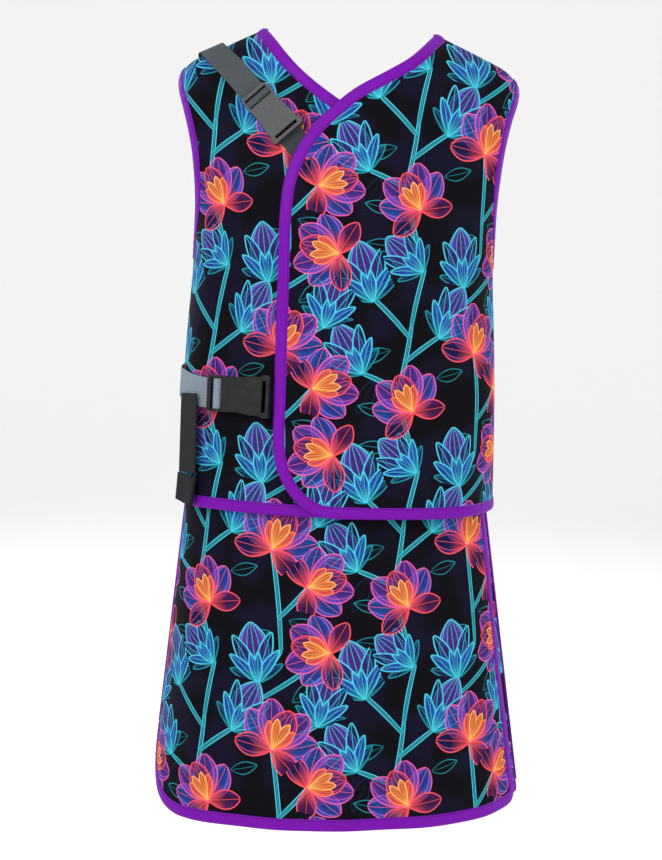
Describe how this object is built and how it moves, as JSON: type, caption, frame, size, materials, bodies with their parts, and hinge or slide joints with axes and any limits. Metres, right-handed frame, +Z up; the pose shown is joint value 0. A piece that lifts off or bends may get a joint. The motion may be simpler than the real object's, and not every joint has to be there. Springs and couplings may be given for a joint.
{
  "type": "lead apron",
  "caption": "Radiation-shielding vest and wrap skirt with layered panels, bias-bound edges, an overlapping front flap, webbing straps and side-release buckles.",
  "frame": {"origin": "on the wearer's centre line, level with the tops of the vest's shoulders beside the neck, midway between front and back", "axes": "+Z up, -Y out of the front, +X to the wearer's left"},
  "size_m": [0.4882, 0.3271, 1.013],
  "materials": {
    "printed_fabric": "smooth coated nylon, near-black ground with a bright floral print",
    "shielding_sheet": "matt, stacked lead-loaded vinyl sheets",
    "lining_fabric": "matt plain weave",
    "binding_tape": "satin folded bias tape, violet, stitched",
    "grey_webbing": "woven polypropylene",
    "black_webbing": "woven nylon",
    "grey_plastic": "moulded acetal",
    "black_plastic": "moulded acetal",
    "hook_and_loop": "hook-and-loop pile"
  },
  "bodies": {
    "garment": {"left_front_shell": "printed_fabric", "left_front_core": "shielding_sheet", "left_front_lining": "lining_fabric", "left_armhole_front_binding": "binding_tape", "left_front_hem_binding": "binding_tape", "left_neck_binding": "binding_tape", "right_front_shell": "printed_fabric", "right_front_core": "shielding_sheet", "right_front_lining": "lining_fabric", "right_armhole_front_binding": "binding_tape", "right_front_binding": "binding_tape", "back_shell": "printed_fabric", "back_core": "shielding_sheet", "back_lining": "lining_fabric", "left_armhole_back_binding": "binding_tape", "right_armhole_back_binding": "binding_tape", "back_neck_binding": "binding_tape", "back_hem_binding": "binding_tape", "right_front_loop_patch": "hook_and_loop", "skirt_front_yoke_shell": "printed_fabric", "skirt_front_yoke_core": "shielding_sheet", "skirt_front_yoke_lining": "lining_fabric", "skirt_front_yoke_binding": "binding_tape", "skirt_front_waistband": "black_webbing", "skirt_back_shell": "printed_fabric", "skirt_back_core": "shielding_sheet", "skirt_back_lining": "lining_fabric", "skirt_back_binding": "binding_tape", "skirt_back_waistband": "black_webbing", "skirt_side_shell": "printed_fabric", "skirt_side_core": "shielding_sheet", "skirt_side_lining": "lining_fabric", "skirt_side_binding": "binding_tape", "skirt_right_piping": "binding_tape", "skirt_left_piping": "binding_tape", "skirt_hook_patch": "hook_and_loop", "skirt_loop_patch": "hook_and_loop", "shoulder_strap": "grey_webbing", "waist_strap": "grey_webbing"},
    "flap": {"flap_shell": "printed_fabric", "flap_core": "shielding_sheet", "flap_lining": "lining_fabric", "flap_binding": "binding_tape", "flap_hook_patch": "hook_and_loop", "shoulder_buckle_socket": "grey_plastic", "shoulder_tab": "grey_webbing", "waist_buckle_socket": "black_plastic", "waist_tab": "black_webbing"},
    "skirt_front_panel": {"skirt_front_shell": "printed_fabric", "skirt_front_core": "shielding_sheet", "skirt_front_lining": "lining_fabric", "skirt_front_binding": "binding_tape"},
    "shoulder_plug": {"shoulder_buckle_plug": "grey_plastic"},
    "shoulder_prong_upper": {"shoulder_buckle_prong_upper": "grey_plastic"},
    "shoulder_prong_lower": {"shoulder_buckle_prong_lower": "grey_plastic"},
    "waist_plug": {"waist_buckle_plug": "black_plastic"},
    "waist_prong_upper": {"waist_buckle_prong_upper": "black_plastic"},
    "waist_prong_lower": {"waist_buckle_prong_lower": "black_plastic"},
    "waist_tail": {"waist_tail": "black_webbing", "waist_tail_fold": "black_webbing"}
  },
  "joints": [
    {"name": "flap_fold", "type": "hinge", "parent": "garment", "child": "flap", "pos_m": [0.045, -0.1295, -0.057], "axis": [-0.1167, 0, 0.9932], "range_deg": [0, 110], "deforming": ["shoulder_buckle_prong_upper", "shoulder_buckle_prong_lower", "waist_buckle_prong_upper", "waist_buckle_prong_lower"]},
    {"name": "skirt_front_swing", "type": "hinge", "parent": "garment", "child": "skirt_front_panel", "pos_m": [-0.17645, 0, -0.4001], "axis": [-0.0942, 0, -0.9956], "range_deg": [0, 28]},
    {"name": "shoulder_plug_slide", "type": "slide", "parent": "garment", "child": "shoulder_plug", "axis": [-0.6485, 0.3207, 0.6904], "range_m": [0, 0.038], "deforming": ["shoulder_strap", "shoulder_buckle_prong_upper", "shoulder_buckle_prong_lower"]},
    {"name": "shoulder_prong_upper_squeeze", "type": "hinge", "parent": "shoulder_plug", "child": "shoulder_prong_upper", "pos_m": [-0.09923, -0.08101, -0.09543], "axis": [0.1814, 0.9459, -0.269], "range_deg": [0, 7], "stiffness_Nm_per_rad": 0.05},
    {"name": "shoulder_prong_lower_squeeze", "type": "hinge", "parent": "shoulder_plug", "child": "shoulder_prong_lower", "pos_m": [-0.11402, -0.08199, -0.10886], "axis": [-0.1814, -0.9459, 0.269], "range_deg": [0, 7], "stiffness_Nm_per_rad": 0.05},
    {"name": "waist_plug_slide", "type": "slide", "parent": "garment", "child": "waist_plug", "axis": [-0.9045, 0.4264, -0.007], "range_m": [0, 0.044], "deforming": ["waist_strap", "waist_buckle_prong_upper", "waist_buckle_prong_lower"]},
    {"name": "waist_prong_upper_squeeze", "type": "hinge", "parent": "waist_plug", "child": "waist_prong_upper", "pos_m": [-0.14192, -0.09652, -0.45147], "axis": [0.4261, 0.9028, -0.0588], "range_deg": [0, 7], "stiffness_Nm_per_rad": 0.05},
    {"name": "waist_prong_lower_squeeze", "type": "hinge", "parent": "waist_plug", "child": "waist_prong_lower", "pos_m": [-0.14236, -0.09785, -0.47517], "axis": [-0.4261, -0.9028, 0.0588], "range_deg": [0, 7], "stiffness_Nm_per_rad": 0.05},
    {"name": "waist_tail_swing", "type": "hinge", "parent": "waist_plug", "child": "waist_tail", "pos_m": [-0.19136, -0.06464, -0.46671], "axis": [-0.5651, 0.8227, -0.0621], "range_deg": [0, 60]}
  ],
  "couplings": [
    {"joint": "shoulder_prong_lower_squeeze", "follows": "shoulder_prong_upper_squeeze", "ratio": 1},
    {"joint": "waist_prong_lower_squeeze", "follows": "waist_prong_upper_squeeze", "ratio": 1}
  ]
}
